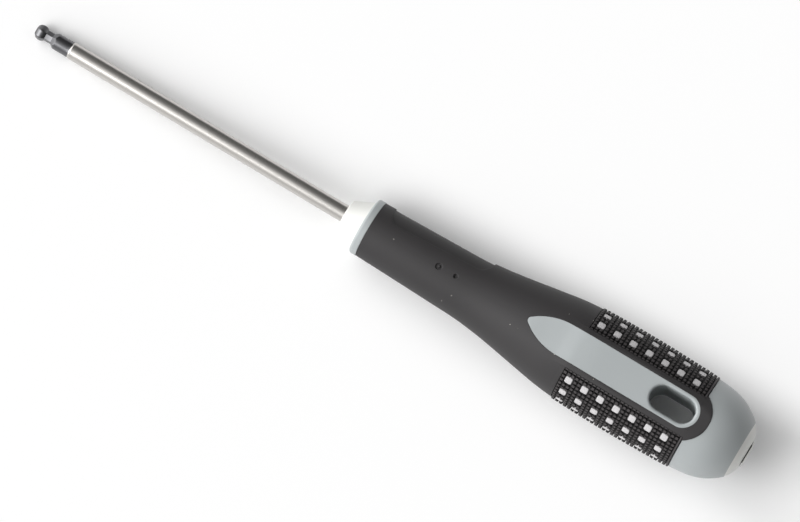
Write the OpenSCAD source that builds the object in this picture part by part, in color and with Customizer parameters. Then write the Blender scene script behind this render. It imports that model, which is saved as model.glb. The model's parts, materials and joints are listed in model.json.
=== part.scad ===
// Ball-end hex screwdriver: a steel blade in a handle moulded round it in three shots.
//
// Everything is drawn upright first: butt end down at z = 0, tip up, one tongue facing +X
// and its twin facing -X. lay_down() then lays the tool on a table as it comes to rest,
// on the ball of its tip and on the flat of its lower tongue, with the tip towards +X.

/* [Blade] */
// Hexagon, across its flats
across_flats = 3.97; // [3:0.01:5]
// Hexagon, from the tip to the round shaft
hex_len = 10.7; // [8:0.1:20]
// Hexagon, how far it is turned on the shaft, out of flat side up
hex_turn = 19; // [0:1:30]
// Neck behind the ball, across its flats
ball_neck_flats = 2.7; // [1.5:0.1:2.8]
// Flat at the very tip, across
tip_flat_d = 2.4; // [1:0.1:2.8]
// Gap between the ball's centre and the foot of the neck
ball_neck_len = 3.3; // [2.5:0.1:5]
// Length of the slope from the neck to the full hexagon
neck_slope_len = 1; // [0.5:0.1:2]
// Round shaft, diameter
shaft_d = 4.8; // [4:0.1:7]
// Blade in front of the handle's nose
blade_reach = 97.1; // [60:0.1:200]
// Tang, from its shoulder at the nose to its end inside the handle
tang_len = 78; // [50:1:85]
// Tang, diameter
tang_d = 4.4; // [3.5:0.1:4.7]
// Wings on the tang, tip to tip
wing_span = 7; // [6:0.1:8]
// Thickness of the wings
wing_t = 1.6; // [1:0.1:2.5]
// Length of the wings
wing_len = 22; // [10:1:30]

/* [Handle outline] */
// Largest radius of the barrel
barrel_r = 13.9; // [11:0.1:18]
// Barrel, length from its rear end to its thickest place
barrel_len = 13; // [8:0.1:30]
// Rear end of the barrel, length
heel_len = 9; // [6:0.1:15]
// Rear end of the barrel, how much thinner than the barrel
heel_drop = 0.25; // [0:0.05:1]
// Rounded butt, from the crease to the barrel
butt_len = 10.7; // [8:0.1:16]
// Butt where it meets the barrel, how much thinner than the barrel
butt_drop = 0.8; // [0.3:0.05:1.5]
// Radius of the crease where the butt cone starts
crease_r = 8.3; // [7:0.1:10]
// Butt cone, height
cone_h = 2.6; // [2:0.1:5]
// Butt cone, how far its side bulges between crease and disc
cone_bulge = 0.35; // [0:0.05:0.6]
// Flat disc at the end of the butt cone, radius
disc_r = 3.9; // [3:0.1:6]
// Disc, height of its dome
disc_rise = 0.25; // [0:0.05:0.5]
// Front of the barrel, length from its thickest place to the shoulder
front_len = 17; // [12:0.1:25]
// Front of the barrel at the shoulder, how much thinner than the barrel
front_drop = 0.32; // [0.1:0.01:1]
// Shoulder in front of the barrel, length
shoulder_len = 9; // [6:0.1:15]
// Front of the shoulder, how much thinner than the barrel
shoulder_drop = 1.32; // [1:0.01:3]
// Straight flare between shoulder and hollow, length
flare_len = 11; // [7:0.1:15]
// Front of the flare, radius
flare_r = 10.7; // [9.5:0.1:12]
// Hollow between flare and neck, length
hollow_len = 16; // [12:0.1:25]
// Neck where the hollow ends, radius
waist_r = 8.87; // [8.2:0.01:9.4]
// Slim neck, length
neck_len = 28.7; // [22:0.1:40]
// Front end of the neck, radius
neck_r = 8.05; // [7.4:0.05:8.4]
// Front ring, length
ring_len = 2.2; // [1:0.1:3]
// Front ring, how far it stands out from the neck
ring_rise = 0.1; // [0:0.05:0.4]
// Nose, length
nose_len = 5.7; // [3:0.1:10]
// Nose at the ring, radius
nose_base_r = 7; // [6:0.1:7.2]
// Nose at the blade, radius
nose_tip_r = 4.5; // [3.8:0.1:5.5]

/* [Shells] */
// Rubber of the neck and pads, and wall of the butt, thickness
cover_t = 2.2; // [1.6:0.1:3]
// Rubber over the butt at the end of the tongue, thickness
border_t = 1; // [0.6:0.1:1.4]
// Spindle of the inner core in the neck, radius
spindle_r = 4.6; // [4:0.1:5]
// Wall round the hanging slot
lining_t = 0.95; // [0.6:0.05:1]

/* [Tongue] */
// Tongue, width
tongue_w = 9.2; // [9.1:0.1:11]
// Tongue, length of its pointed front end
tongue_point_len = 11.2; // [8:0.1:16]
// Tongue, rounding of its very tip
tongue_tip_r = 1; // [0.5:0.1:2]
// Tongue, from the end of its round rear to the start of its point
tongue_len = 40.9; // [36:0.1:50]
// Tongue, radius of its round rear
tongue_end_r = 4.7; // [4.7:0.1:6]
// Smooth border round the tongue, width
border_w = 1.6; // [1:0.1:2.5]
// Round rear of the border, radius
border_end_r = 8; // [7:0.1:9]
// Border and tongue, how far they stand out from the barrel's round
border_rise = 0.25; // [0.1:0.05:0.5]
// Flat of the tongue, depth below the barrel's largest radius
flat_drop = 0.75; // [0.5:0.05:1]
// Point of the tongue, depth of its edges below the rubber
point_drop = 0.08; // [0.05:0.01:0.2]

/* [Hanging slot] */
// Slot, width
slot_w = 7.1; // [5:0.1:7.2]
// Slot, length
slot_len = 13.1; // [9:0.1:18]
// Centre of the slot's rear end, from the butt end
slot_rear = 20.6; // [19:0.1:26]
// Rounding of the slot's rims
lip_r = 0.7; // [0.3:0.1:0.9]

/* [Textured pads] */
// Rear edge of the pads, from the butt end
pad_rear = 16.8; // [15:0.1:20]
// Pads, length
pad_len = 36.1; // [30:0.1:44]
// Studs, pitch along the tool
stud_pitch = 4.88; // [4:0.01:6]
// Studs, angle from one row to the next
stud_angle = 20.4; // [18:0.1:24]
// Studs, rows on each side
stud_rows = 6; // [4:1:6]
// Studs, side of their square
stud_size = 2; // [1.4:0.1:2.2]
// Studs, rounding of their corners
stud_corner = 0.4; // [0.2:0.05:0.6]
// Studs, depth of their faces below the rubber
stud_depth = 0.1; // [0:0.05:0.5]
// Pads, from their rear edge to the edge of the nearest stud
pad_rear_rim = 3.35; // [2:0.01:5]
// Pads, from their front edge to the edge of the nearest stud, at least
pad_front_rim = 1.2; // [1:0.1:5]

/* [Neck details] */
// Recessed panel on one side of the neck, length
panel_len = 30.4; // [20:0.1:36]
// Recessed panel, height
panel_h = 14.8; // [8:0.1:15]
// Recessed panel, depth
panel_depth = 0.4; // [0.2:0.05:0.8]
// Recessed panel, gap to the front ring
panel_gap = 3.1; // [1:0.1:5]
// Recessed panel, rounding of its corners
panel_corner = 3; // [1:0.1:5]
// Ring mark of the mould on the upper tongue's side, distance behind the front ring
gate_gap = 21.4; // [12:0.1:23]
// Depth of the mould's marks
gate_depth = 0.15; // [0.05:0.05:0.3]

/* [Hidden] */
$fn = 96;

// Heights above the butt end
z_butt = cone_h + butt_len;
z_heel = z_butt + heel_len;
z_barrel = z_heel + barrel_len;
z_front = z_barrel + front_len;
z_shoulder = z_front + shoulder_len;
z_flare = z_shoulder + flare_len;
z_waist = z_flare + hollow_len;
z_sleeve = z_waist + neck_len;
z_ring = z_sleeve + ring_len;
z_nose = z_ring + nose_len;
z_tip = z_nose + blade_reach;

// Outline of the handle: height, radius and slope at the ends of each stretch
flare_slope = (flare_r - (barrel_r - shoulder_drop)) / flare_len;
neck_slope = (neck_r - waist_r) / neck_len;
stations = [
    [cone_h, crease_r, 0.95],
    [z_butt, barrel_r - butt_drop, 0.1],
    [z_heel, barrel_r - heel_drop, 0.02],
    [z_barrel, barrel_r, 0],
    [z_front, barrel_r - front_drop, -0.05],
    [z_shoulder, barrel_r - shoulder_drop, flare_slope],
    [z_flare, flare_r, flare_slope],
    [z_waist, waist_r, neck_slope],
    [z_sleeve, neck_r, neck_slope]
];
outline_step = 2.2;

// Cubic through two stations, with their slopes
function cubic(p, q, z) =
    let (len = q[0] - p[0], t = (z - p[0]) / len)
    (2 * pow(t, 3) - 3 * pow(t, 2) + 1) * p[1] + (pow(t, 3) - 2 * pow(t, 2) + t) * len * p[2]
    + (3 * pow(t, 2) - 2 * pow(t, 3)) * q[1] + (pow(t, 3) - pow(t, 2)) * len * q[2];

// Radius of the handle at height z
function handle_r(z) =
    let (i = max([for (k = [0:len(stations) - 2]) if (k == 0 || z >= stations[k][0]) k]))
    cubic(stations[i], stations[i + 1], z);

// Heights at which the outline has a point, between two heights and with them
heights = [
    for (k = [0:len(stations) - 2])
        let (a = stations[k][0], b = stations[k + 1][0], n = ceil((b - a) / outline_step))
        for (j = [0:n - 1]) a + (b - a) * j / n
];
function heights_between(low, high) =
    concat([low], [for (z = heights) if (z > low + 0.01 && z < high - 0.01) z], [high]);

// Points of the outline, moved in by depth
function outline(low, high, depth = 0) =
    [for (z = heights_between(low, high)) [handle_r(z) - depth, z]];

// Inner core
seat_h = 1.1;                                   // height of the groove under the butt shell
z_core_barrel = pad_rear + pad_len + 2;         // the core's barrel ends just in front of the pads
core_step_len = 4;                              // slope from the core's barrel to its spindle
crease_w = 0.2;                                 // small step where the cone meets the butt shell
groove_w = 0.35;                                // ring groove at the edge of the butt disc
groove_depth = 0.2;
// Domed disc and bulging cone at the butt end, from the axis to the crease: radius, height
cap_steps = 5;
cap_end = [crease_r - crease_w, cone_h - crease_w];
cap_run = cap_end - [disc_r, disc_rise];
cap_side = [cap_run[1], -cap_run[0]] / norm(cap_run);
disc_outline = [for (i = [0:cap_steps - 1]) let (t = i / cap_steps) [t * disc_r, t * t * disc_rise]];
cap_outline = concat(disc_outline, [
    for (i = [0:cap_steps]) let (t = i / cap_steps)
        [disc_r, disc_rise] + t * cap_run + 4 * t * (1 - t) * cone_bulge * cap_side
]);

// Tongue: the point is two arcs, tangent to the tongue's sides and to its small round tip
tongue_half = tongue_w / 2;
z_tongue_point = slot_rear - tongue_end_r + tongue_len;
z_tongue_tip = z_tongue_point + tongue_point_len;
z_tip_round = z_tongue_tip - tongue_tip_r;      // centre of the round tip
tip_run = z_tip_round - z_tongue_point;
point_r = (pow(tip_run, 2) / (tongue_half - tongue_tip_r) + tongue_tip_r + tongue_half) / 2;
z_tip_touch = z_tongue_point + tip_run * point_r / (point_r - tongue_tip_r);
point_swing = asin((z_tip_touch - z_tongue_point) / point_r);
point_steps = 10;
tip_steps = 4;
// Right half of the point's outline, from the tongue's side to its very tip
point_outline = concat(
    [for (i = [0:point_steps]) let (a = point_swing * i / point_steps)
        [point_r * (cos(a) - 1) + tongue_half, z_tongue_point + point_r * sin(a)]],
    [for (i = [1:tip_steps]) let (a = point_swing + (90 - point_swing) * i / tip_steps)
        [tongue_tip_r * cos(a), z_tip_round + tongue_tip_r * sin(a)]]
);
function tongue_half_at(z) =
    z <= z_tongue_point ? tongue_half
    : z <= z_tip_touch ? sqrt(pow(point_r, 2) - pow(z - z_tongue_point, 2)) - point_r + tongue_half
    : z < z_tongue_tip ? sqrt(pow(tongue_tip_r, 2) - pow(z - z_tip_round, 2))
    : 0;

// Crown: the raised surface that tongue and border share, faded out in front of the pads
z_fade = pad_rear + pad_len;
z_crown_rear = slot_rear - border_end_r - 1;
function crown_r(z) =
    handle_r(z) + border_rise * min(1, max(0, (z_tongue_point - z) / (z_tongue_point - z_fade)));
flat_x = barrel_r - flat_drop;
function flat_at(z) =
    z < z_barrel ? flat_x
    : min(flat_x, sqrt(pow(crown_r(z), 2) - pow(tongue_half_at(z), 2)) - point_drop);
crown_heights = heights_between(z_crown_rear, z_waist);

// Studs
stud_count = floor((pad_len - pad_rear_rim - pad_front_rim - stud_size) / stud_pitch) + 1;
z_first_stud = pad_rear + pad_rear_rim + stud_size / 2;

// Blade: ball centre below the tip, and how far the ball's corners reach
ball_r = across_flats / 2;
ball_corner_r = ball_r * 1.1;                   // the ball's corners are turned to this radius
neck_clear_r = 0.6 * ball_neck_flats;           // just clear of the neck's corners
ball_rest_r = ball_corner_r * cos(max(0, acos(ball_r / ball_corner_r) - hex_turn)); // reach straight down
z_ball = z_tip - sqrt(pow(ball_r, 2) - pow(tip_flat_d / 2, 2));
z_ball_neck = z_ball - ball_neck_len;
z_hex_full = z_ball_neck - neck_slope_len;
z_hex_end = z_tip - hex_len;
shaft_r = shaft_d / 2;
tang_r = tang_d / 2;
shaft_chamfer = 0.4;                            // from the round shaft down to the hexagon
tang_chamfer = 0.5;
wing_start = 15;                                // from the tang's end to the wings
reach = 2 * barrel_r;                           // longer than any section is wide

// Rest on a table: the steepest line that touches the ball and the flat of the tongue
function touch_angle(z) =
    let (run = z_ball - z, rise = flat_at(z))
    atan2(rise, run) - asin(ball_rest_r / norm([run, rise]));
rest_angle = max([for (z = crown_heights) touch_angle(z)]);
rest_height = z_ball * sin(rest_angle) + ball_rest_r;
// Middle between the foremost point, on the tip's flat, and the rearmost, on the butt end
tip_flat_up = tip_flat_d / 2 * cos(30 - hex_turn) / cos(30);    // the flat's reach straight up
rest_front = z_tip * cos(rest_angle) + tip_flat_up * sin(rest_angle);
rest_rear = min([for (p = cap_outline) p[1] * cos(rest_angle) - p[0] * sin(rest_angle)]);
rest_middle = (rest_front + rest_rear) / 2;

module lay_down() {
    translate([-rest_middle, 0, rest_height])
        rotate([0, 90 + rest_angle, 0])
            rotate([0, 0, 180])
                children();
}

// ---- helpers ----

module turned(points) {
    rotate_extrude() polygon(points);
}

// A plan in Y and Z carried through the handle along X
module through(width = reach) {
    rotate([90, 0, 90]) linear_extrude(height = 2 * width, center = true) children();
}

module stadium(radius, low, high) {
    translate([-radius, low]) square([2 * radius, high - low]);
    for (y = [low, high]) translate([0, y]) circle(radius);
}

module rounded_square(size, corner) {
    inner = [size[0] - 2 * corner, size[1] - 2 * corner];
    square([size[0], inner[1]], center = true);
    square([inner[0], size[1]], center = true);
    for (x = [-1, 1], y = [-1, 1])
        translate([x * inner[0] / 2, y * inner[1] / 2]) circle(corner, $fn = 24);
}

// ---- forms shared by the shots ----

// Plan of the tongue: a point of two arcs with a small round tip, straight sides and a round rear
module tongue_plan() {
    polygon(concat(
        [[tongue_half, slot_rear]], point_outline,
        [for (i = [len(point_outline) - 2:-1:0]) [-point_outline[i][0], point_outline[i][1]]],
        [[-tongue_half, slot_rear]]
    ));
    intersection() {
        translate([0, slot_rear]) circle(tongue_end_r);
        translate([-tongue_half, slot_rear - reach]) square([tongue_w, reach]);
    }
}

// Plan of the tongue with its smooth border, up to where the tongue's point starts
module border_plan() {
    half = tongue_half + border_w;
    translate([-half, pad_rear]) square([2 * half, z_tongue_point - pad_rear]);
    intersection() {
        translate([0, slot_rear]) circle(border_end_r);
        translate([-reach, pad_rear - reach]) square([2 * reach, reach]);
    }
}

// Raised round with a flat on either side
module crown() {
    flat = [for (z = crown_heights) [flat_at(z), z]];
    flat_back = [for (i = [len(flat) - 1:-1:0]) [-flat[i][0], flat[i][1]]];
    intersection() {
        turned(concat(
            [[0, z_crown_rear]],
            [for (z = crown_heights) [crown_r(z), z]],
            [[0, z_waist]]
        ));
        rotate([90, 0, 0])
            linear_extrude(height = 2 * reach, center = true)
                polygon(concat(flat, flat_back));
    }
}

module studs(top) {
    for (side = [-1, 1], row = [0:stud_rows - 1], i = [0:stud_count - 1]) {
        angle = side * 90 + (row - (stud_rows - 1) / 2) * stud_angle;
        z = z_first_stud + i * stud_pitch;
        foot = handle_r(z) - cover_t - 1;
        rotate([0, 0, angle])
            translate([foot, 0, z])
                rotate([90, 0, 90])
                    linear_extrude(height = handle_r(z) + top - foot)
                        rounded_square([stud_size, stud_size], stud_corner);
    }
}

module core_form() {
    turned(concat(
        cap_outline,
        outline(cone_h + seat_h, z_core_barrel, cover_t),
        [
            [spindle_r, z_core_barrel + core_step_len], [spindle_r, z_ring],
            [nose_base_r, z_ring], [nose_tip_r, z_nose], [0, z_nose]
        ]
    ));
}

module slot_lining() {
    intersection() {
        through() stadium(slot_w / 2 + lining_t, slot_rear, slot_rear + slot_len - slot_w);
        crown();
    }
}

// Everything the second shot fills, before the core and the slot are taken out
module body_form() {
    // tube under the neck's rubber
    turned(concat([[0, z_core_barrel]], outline(z_core_barrel, z_sleeve, cover_t), [[0, z_sleeve]]));
    // front ring, with a rounded front edge
    ring_r = neck_r + ring_rise;
    round_r = 0.8;
    rotate_extrude() {
        translate([0, z_sleeve]) square([ring_r, ring_len - round_r]);
        translate([0, z_sleeve]) square([ring_r - round_r, ring_len]);
        translate([ring_r - round_r, z_ring - round_r]) circle(round_r);
    }
    // butt shell, open where the border lies, and the thinner layer that runs under the border
    difference() {
        turned(concat([[0, cone_h]], outline(cone_h, pad_rear), [[0, pad_rear]]));
        through() border_plan();
    }
    turned(concat([[0, cone_h]], outline(cone_h, pad_rear, border_t), [[0, pad_rear]]));
    // both tongues
    intersection() {
        through() tongue_plan();
        crown();
    }
}

// ---- slot and marks ----

module slot_cut() {
    high = slot_rear + slot_len - slot_w;
    through() stadium(slot_w / 2, slot_rear, high);
    // rounded rims: turned at both ends of the slot, straight along both sides
    for (face = [0, 180]) rotate([0, 0, face]) translate([flat_x, 0, 0]) {
        for (z = [slot_rear, high]) translate([0, 0, z]) rotate([0, 90, 0]) rotate_extrude() lip();
        for (side = [0, 1])
            mirror([0, side, 0])
                translate([0, 0, slot_rear])
                    linear_extrude(height = high - slot_rear)
                        mirror([1, 0]) rotate([0, 0, 90]) lip();
    }
}

// Section of the rim: outwards from the slot's middle, and up out of the flat
module lip() {
    difference() {
        translate([slot_w / 2 - 0.1, -lip_r]) square([lip_r + 0.1, 2 * lip_r]);
        translate([slot_w / 2 + lip_r, -lip_r]) circle(lip_r);
    }
}

module panel_cut() {
    low = z_sleeve - panel_gap - panel_len;
    high = z_sleeve - panel_gap;
    intersection() {
        difference() {
            turned(concat([[0, low]], outline(low, high, -1), [[0, high]]));
            turned(concat([[0, low]], outline(low, high, panel_depth), [[0, high]]));
        }
        translate([0, 0, (low + high) / 2])
            rotate([90, 0, 180])
                linear_extrude(height = reach)
                    rounded_square([panel_h, panel_len], panel_corner);
    }
}

// Marks that the mould leaves on top of the neck: a small ring and a pin dimple behind it
module mould_marks() {
    ring_outer = 0.7;
    ring_inner = 0.4;
    pin_r = 0.35;
    pin_gap = 5.2;
    z_gate = z_sleeve - gate_gap;
    translate([handle_r(z_gate) - gate_depth, 0, z_gate]) rotate([0, 90, 0]) difference() {
        cylinder(r = ring_outer, h = 1);
        translate([0, 0, -0.5]) cylinder(r = ring_inner, h = 2);
    }
    z_pin = z_gate - pin_gap;
    translate([handle_r(z_pin) - 2 * gate_depth, 0, z_pin]) rotate([0, 90, 0]) cylinder(r = pin_r, h = 1);
}

// ---- blade ----

// Half of what the flats see: ball, neck, slope and full hexagon
module flats_profile() {
    neck = ball_neck_flats / 2;
    intersection() {
        translate([0, z_ball]) circle(ball_r);
        translate([-reach, 0]) square([2 * reach, z_tip]);
    }
    polygon([
        [-neck, z_ball], [-neck, z_ball_neck], [-ball_r, z_hex_full], [-ball_r, z_hex_end - 1],
        [ball_r, z_hex_end - 1], [ball_r, z_hex_full], [neck, z_ball_neck], [neck, z_ball]
    ]);
}

// The hexagon is where three such profiles, carried across the blade, meet
module hex_tip() {
    intersection() {
        flats_slab();
        rotate([0, 0, 60]) flats_slab();
        rotate([0, 0, 120]) flats_slab();
        union() {
            translate([0, 0, z_ball]) sphere(ball_corner_r);
            translate([0, 0, z_hex_full]) cylinder(r = neck_clear_r, h = z_ball - z_hex_full);
            translate([0, 0, z_hex_end - 1]) cylinder(r = shaft_r, h = z_ball_neck - z_hex_end + 1);
        }
    }
}

module flats_slab() {
    rotate([90, 0, 0]) linear_extrude(height = 4 * shaft_d, center = true) flats_profile();
}

module blade_form() {
    z_tang = z_nose - tang_len;
    rotate([0, 0, -hex_turn]) hex_tip();
    turned([
        [0, z_tang], [tang_r - tang_chamfer, z_tang], [tang_r, z_tang + tang_chamfer],
        [tang_r, z_nose], [shaft_r, z_nose],
        [shaft_r, z_hex_end - shaft_chamfer], [ball_r, z_hex_end], [0, z_hex_end]
    ]);
    translate([-wing_t / 2, -wing_span / 2, z_tang + wing_start]) cube([wing_t, wing_span, wing_len]);
}

// ---- the four pieces ----

module blade() {
    color("silver") lay_down() blade_form();
}

module inner_core() {
    color("ghostwhite") lay_down() difference() {
        union() {
            core_form();
            studs(-stud_depth);
        }
        blade_form();
        slot_lining();
        // ring groove at the edge of the butt disc
        translate([0, 0, -1]) difference() {
            cylinder(r = disc_r, h = 1 + disc_rise + groove_depth);
            translate([0, 0, -1]) cylinder(r = disc_r - groove_w, h = 4);
        }
    }
}

module handle_body() {
    color([0.70, 0.74, 0.74]) lay_down() difference() {
        union() {
            difference() {
                body_form();
                core_form();
            }
            slot_lining();
        }
        slot_cut();
    }
}

module grip_sleeve() {
    color([0.2, 0.19, 0.2]) lay_down() difference() {
        union() {
            difference() {
                turned(concat([[0, pad_rear]], outline(pad_rear, z_sleeve), [[0, z_sleeve]]));
                through() border_plan();
            }
            intersection() {
                through() border_plan();
                crown();
            }
        }
        through() tongue_plan();
        body_form();
        core_form();
        studs(1);
        panel_cut();
        mould_marks();
    }
}

blade();
inner_core();
handle_body();
grip_sleeve();
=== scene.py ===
"""Ball-end hex screwdriver on a pale table: its surfaces, finishes, light and camera.

The tool is worked out in its own directions: height along its axis from the butt end,
up out of the upper tongue, and across. lay_down() turns them into the frame's metres.
"""

import json

import bmesh
import bpy
import numpy as np
from bpy.props import FloatProperty, FloatVectorProperty, IntProperty, PointerProperty
from bpy.types import Operator, Panel, PropertyGroup
from mathutils import Matrix, Vector


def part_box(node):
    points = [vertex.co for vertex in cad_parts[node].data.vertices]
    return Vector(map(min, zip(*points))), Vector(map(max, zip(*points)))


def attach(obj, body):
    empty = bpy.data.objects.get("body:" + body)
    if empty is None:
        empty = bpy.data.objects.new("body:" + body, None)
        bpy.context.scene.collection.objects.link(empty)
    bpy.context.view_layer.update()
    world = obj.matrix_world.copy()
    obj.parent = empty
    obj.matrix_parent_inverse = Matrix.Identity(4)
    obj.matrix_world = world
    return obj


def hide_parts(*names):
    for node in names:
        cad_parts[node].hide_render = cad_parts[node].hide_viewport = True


bl_info = {
    "name": "Ball-End Hex Screwdriver",
    "version": (1, 0, 0),
    "blender": (4, 5, 0),
    "location": "3D View > Sidebar > Screwdriver",
    "description": "Builds a ball-end hex screwdriver with a three-shot moulded handle",
    "category": "Add Mesh",
}

MM = 0.001
BODY = "root"
# a bump along the tool and round it, in pitches: middle of the groove, foot, top, top, foot
BUMP_LINES = {"along": np.array([0, 0.1, 0.2, 0.8, 0.9]),
              "round": np.array([0, 0.12, 0.22, 0.78, 0.88])}

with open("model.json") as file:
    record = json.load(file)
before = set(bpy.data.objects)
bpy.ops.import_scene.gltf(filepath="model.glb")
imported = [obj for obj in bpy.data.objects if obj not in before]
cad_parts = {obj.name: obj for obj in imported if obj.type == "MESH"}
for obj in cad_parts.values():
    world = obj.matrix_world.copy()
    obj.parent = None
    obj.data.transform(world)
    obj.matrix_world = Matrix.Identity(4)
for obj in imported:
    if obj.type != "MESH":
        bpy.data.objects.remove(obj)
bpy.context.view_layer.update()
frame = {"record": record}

# The tool's own directions, from the places where things fasten to it
MOUNTS = {mount["name"]: mount for mount in frame["record"]["mounts"]}
TIP = np.array(MOUNTS["hex_tip"]["pos_m"])
ALONG = np.array(MOUNTS["hex_tip"]["axis"])
UP = np.array(MOUNTS["hanging_slot"]["axis"])
ACROSS = np.cross(UP, ALONG)
SHAFT_RADIUS = MOUNTS["shaft"]["dims"]["r_mm"] * MM
BARREL_RADIUS = (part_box("grip_sleeve")[1].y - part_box("grip_sleeve")[0].y) / 2
TOOL_LENGTH = 222 * MM
SUNK = 1.0 * MM  # how deep a surface lies where another shell covers it


def lay_down(height, up, across):
    """Points at height from the butt end, up and across, as the frame's metres."""
    height, up, across = np.broadcast_arrays(height, up, across)
    return (TIP + (height - TOOL_LENGTH)[..., None] * ALONG
            + up[..., None] * UP + across[..., None] * ACROSS)


def around(height, radius, angle):
    """Points at a radius round the axis, angle 0 being up and growing towards across."""
    return lay_down(height, radius * np.cos(angle), radius * np.sin(angle))


# ---------------------------------------------------------------- sizes and colours


def length(name, description, size_mm):
    """A length property, its default given in millimetres."""
    return FloatProperty(name=name, description=description, default=size_mm * MM,
                         min=0.0, precision=5, unit="LENGTH")


def linear(hex_colour):
    """An sRGB hex colour as linear red, green, blue and alpha."""
    srgb = np.array([int(hex_colour[i:i + 2], 16) for i in (1, 3, 5)]) / 255
    low, high = srgb / 12.92, ((srgb + 0.055) / 1.055) ** 2.4
    return (*(float(c) for c in np.where(srgb <= 0.04045, low, high)), 1.0)


def colour(name, description, hex_colour):
    """A colour property, its default given as sRGB hex."""
    return FloatVectorProperty(name=name, description=description, subtype="COLOR", size=4,
                               min=0.0, max=1.0, default=linear(hex_colour))


class BladeSizes(PropertyGroup):
    across_flats: length("Across flats", "Ball, from flat to flat", 3.97)
    black_tip: length("Black tip", "From the end of the ball to the shaft", 10.7)
    turn: FloatProperty(name="Turn", description="Flat on the ball, turned out of straight up",
                        default=np.radians(19.0), subtype="ANGLE")
    tip_flat: length("Tip flat", "Diameter of the small flat at the very tip", 2.4)
    neck_flats: length("Neck flats", "Thinnest place behind the ball, from flat to flat", 2.7)
    neck: length("Neck", "From the ball's centre to the foot of the neck", 3.3)
    slope: length("Slope", "From the neck out to the round bar", 1.4)
    bar_radius: length("Bar radius", "Round bar behind the neck", 2.25)
    reach: length("Reach", "Blade in front of the handle's nose", 97.1)
    tang: length("Tang", "From the shoulder at the nose to the end in the handle", 78.0)
    tang_radius: length("Tang radius", "Radius of the tang", 2.2)
    wing_span: length("Wing span", "Pressed wings on the tang, from tip to tip", 7.0)
    wing_thickness: length("Wing thickness", "Thickness of the wings", 1.6)
    wing_length: length("Wing length", "Length of the wings", 22.0)
    wing_start: length("Wing start", "From the tang's end to the wings", 15.0)


class HandleSizes(PropertyGroup):
    barrel_radius: length("Barrel radius", "Largest radius of the barrel", BARREL_RADIUS / MM)
    cone: length("Butt cone", "Height of the cone at the butt end", 2.6)
    cone_bulge: length("Cone bulge", "How far the cone's side bulges", 0.35)
    crease_radius: length("Crease radius", "Where the cone meets the grey butt", 8.3)
    disc_radius: length("Disc radius", "Disc at the very end", 3.9)
    disc_rise: length("Disc rise", "How far the disc is domed", 0.25)
    sleeve_front: length("Sleeve front", "Front end of the rubber", 117.0)
    ring: length("Ring", "Length of the ring in front of the rubber", 2.2)
    ring_rise: length("Ring rise", "How far the ring stands out from the rubber", 0.1)
    nose: length("Nose", "Length of the nose", 5.7)
    nose_base: length("Nose base", "Radius of the nose at the ring", 7.0)
    nose_tip: length("Nose tip", "Radius of the nose at the blade", 4.5)
    spindle: length("Spindle", "Radius of the inner core in the neck", 4.6)
    core_front: length("Core front", "Where the core narrows to its spindle", 54.9)
    cover: length("Cover", "Thickness of the rubber", 2.2)


class TongueSizes(PropertyGroup):
    width: length("Width", "Width of the tongue", 9.2)
    point_start: length("Point start", "Where the tongue starts to narrow", 56.8)
    point: length("Point", "Length of the pointed front end", 11.2)
    tip_radius: length("Tip radius", "Rounding of the very tip", 1.0)
    end_radius: length("End radius", "Radius of the round rear end", 4.7)
    end_blend: length("End blend", "How smoothly the round rear end meets the sides", 0.1)
    flat_drop: length("Flat drop", "Depth of the flat below the barrel's radius", 0.75)
    point_drop: length("Point drop", "Depth of the point's edges below the rubber", 0.08)
    edge: length("Edge", "Rounding of the tongue's edge", 0.06)
    border: length("Border", "Width of the smooth border round the tongue", 1.6)
    border_radius: length("Border radius", "Radius of the border's round rear end", 8.0)
    border_rise: length("Border rise", "How far the border stands out from the barrel", 0.25)
    border_edge: length("Border edge", "Rounding of the border's outer edge", 0.22)
    slot_width: length("Slot width", "Width of the hanging slot", 7.1)
    slot_length: length("Slot length", "Length of the hanging slot", 13.1)
    slot_rear: length("Slot rear", "Centre of the slot's rear end", 20.6)
    lip: length("Lip", "Rounding of the slot's rim", 0.7)
    lining: length("Lining", "Wall round the slot inside the handle", 0.95)


class PadSizes(PropertyGroup):
    rear: length("Rear", "Rear edge of the pads", 16.8)
    front: length("Front", "Front edge of the pads", 52.9)
    rim: length("Rim", "Smooth rim at the rear edge", 0.69)
    pitch: length("Pitch", "Bumps, from one to the next along the tool", 1.22)
    turn: FloatProperty(name="Turn", description="Bumps, angle from one row to the next",
                        default=np.radians(5.1), subtype="ANGLE")
    columns: IntProperty(name="Columns", description="Bumps along the tool", default=29)
    rows: IntProperty(name="Rows", description="Rows of bumps on each side", default=26)
    rise: length("Rise", "How far the bumps stand out from the barrel's round", 0.3)
    groove: length("Groove", "Depth of the grooves below the barrel's round", 0.4)
    stud: length("Stud", "Side of the pale studs", 2.0)
    stud_corner: length("Stud corner", "Rounding of the studs' corners", 0.4)
    stud_drop: length("Stud drop", "Depth of the studs' faces below the barrel's round", 0.05)
    stud_edge: length("Stud edge", "Rounding of the studs' edges", 0.1)


class NeckSizes(PropertyGroup):
    panel_rear: length("Panel rear", "Rear edge of the recessed panel", 83.5)
    panel: length("Panel", "Length of the recessed panel", 30.4)
    panel_width: length("Panel width", "Width of the recessed panel", 14.8)
    panel_depth: length("Panel depth", "Depth of the recessed panel", 0.4)
    panel_corner: length("Panel corner", "Rounding of the panel's corners", 3.0)
    panel_edge: length("Panel edge", "Rounding of the panel's rim", 0.12)
    gate: length("Gate mark", "Ring that the mould's gate leaves", 95.6)
    pin: length("Pin mark", "Dimple that a mould pin leaves", 90.4)


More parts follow.
